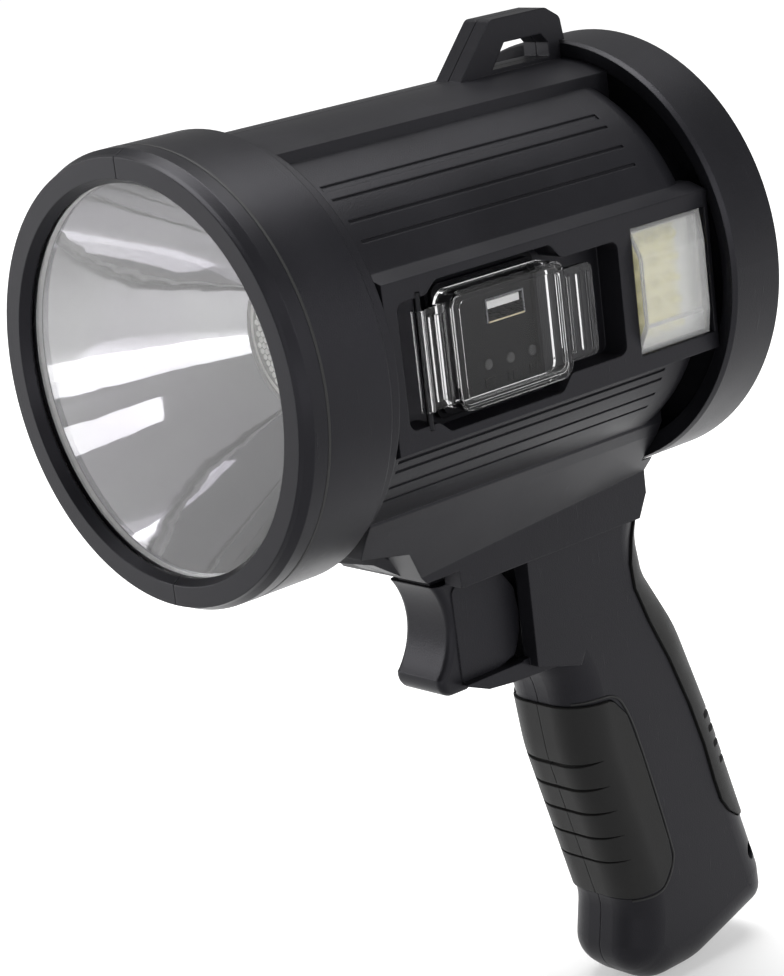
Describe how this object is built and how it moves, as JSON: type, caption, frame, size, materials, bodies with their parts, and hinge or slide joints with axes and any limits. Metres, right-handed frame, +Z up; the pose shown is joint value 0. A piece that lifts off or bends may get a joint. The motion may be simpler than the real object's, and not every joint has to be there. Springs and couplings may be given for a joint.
{
  "type": "handheld searchlight",
  "caption": "Black handheld searchlight with a pistol grip, a sprung trigger, a frosted side light and a hinged clear cover over its port.",
  "frame": {"origin": "centre of the flat rear face", "axes": "+Y out of the rear face along the barrel, the beam leaves along -Y, +Z up, +X the side with the port"},
  "size_m": [0.1162, 0.1885, 0.2764],
  "materials": {
    "housing_plastic": "satin",
    "trigger_plastic": "satin",
    "soft_rubber": "matte",
    "seal_rubber": "matte",
    "clear_lens": "polished",
    "clear_cover": "polished",
    "frosted_lens": "satin",
    "mirror": "polished",
    "emitter": "satin",
    "bare_metal": "satin",
    "screw_steel": "satin",
    "socket_steel": "polished",
    "inner_plastic": "satin",
    "white_plastic": "satin",
    "white_board": "satin",
    "yellow_leds": "satin",
    "solar_cells": "polished",
    "cell_wrap": "satin",
    "circuit_board": "satin"
  },
  "bodies": {
    "housing": {"bezel_left": "housing_plastic", "bezel_right": "housing_plastic", "head_band": "housing_plastic", "front_lens": "clear_lens", "lens_gasket": "seal_rubber", "reflector": "mirror", "led_emitter": "emitter", "led_board": "bare_metal", "heat_sink": "bare_metal", "heat_sink_screws": "screw_steel", "housing_left": "housing_plastic", "housing_right": "housing_plastic", "housing_screws": "screw_steel", "grip_pad_left": "soft_rubber", "grip_pad_right": "soft_rubber", "back_strap": "soft_rubber", "trigger_pin": "screw_steel", "switch_body": "inner_plastic", "rear_ring": "housing_plastic", "rear_screws": "screw_steel", "solar_panel": "solar_cells", "rear_gasket": "seal_rubber", "rear_window": "clear_lens", "port_panel": "inner_plastic", "usb_socket": "socket_steel", "usb_tongue": "white_plastic", "indicator_lenses": "inner_plastic", "cover_hinge_pin": "screw_steel", "side_lens": "frosted_lens", "side_led_board": "white_board", "side_leds": "yellow_leds", "battery_cells": "cell_wrap", "battery_tray": "inner_plastic", "main_board": "circuit_board", "board_parts": "inner_plastic"},
    "trigger_body": {"trigger": "trigger_plastic"},
    "plunger_body": {"switch_plunger": "inner_plastic"},
    "cover_body": {"port_cover": "clear_cover"}
  },
  "joints": [
    {"name": "trigger_hinge", "type": "hinge", "parent": "housing", "child": "trigger_body", "pos_m": [0, -0.0836, -0.066], "axis": [1, 0, 0], "range_deg": [0, 5], "stiffness_Nm_per_rad": 0.6, "springref_deg": -3.44},
    {"name": "plunger_slide", "type": "slide", "parent": "housing", "child": "plunger_body", "axis": [0, 1, 0], "range_m": [0, 0.002]},
    {"name": "cover_hinge", "type": "hinge", "parent": "housing", "child": "cover_body", "pos_m": [0.0505, -0.1201, 0], "axis": [0, 0, -1], "range_deg": [0, 105]}
  ],
  "couplings": [
    {"joint": "plunger_slide", "follows": "trigger_hinge", "m_per_rad": 0.0226}
  ]
}
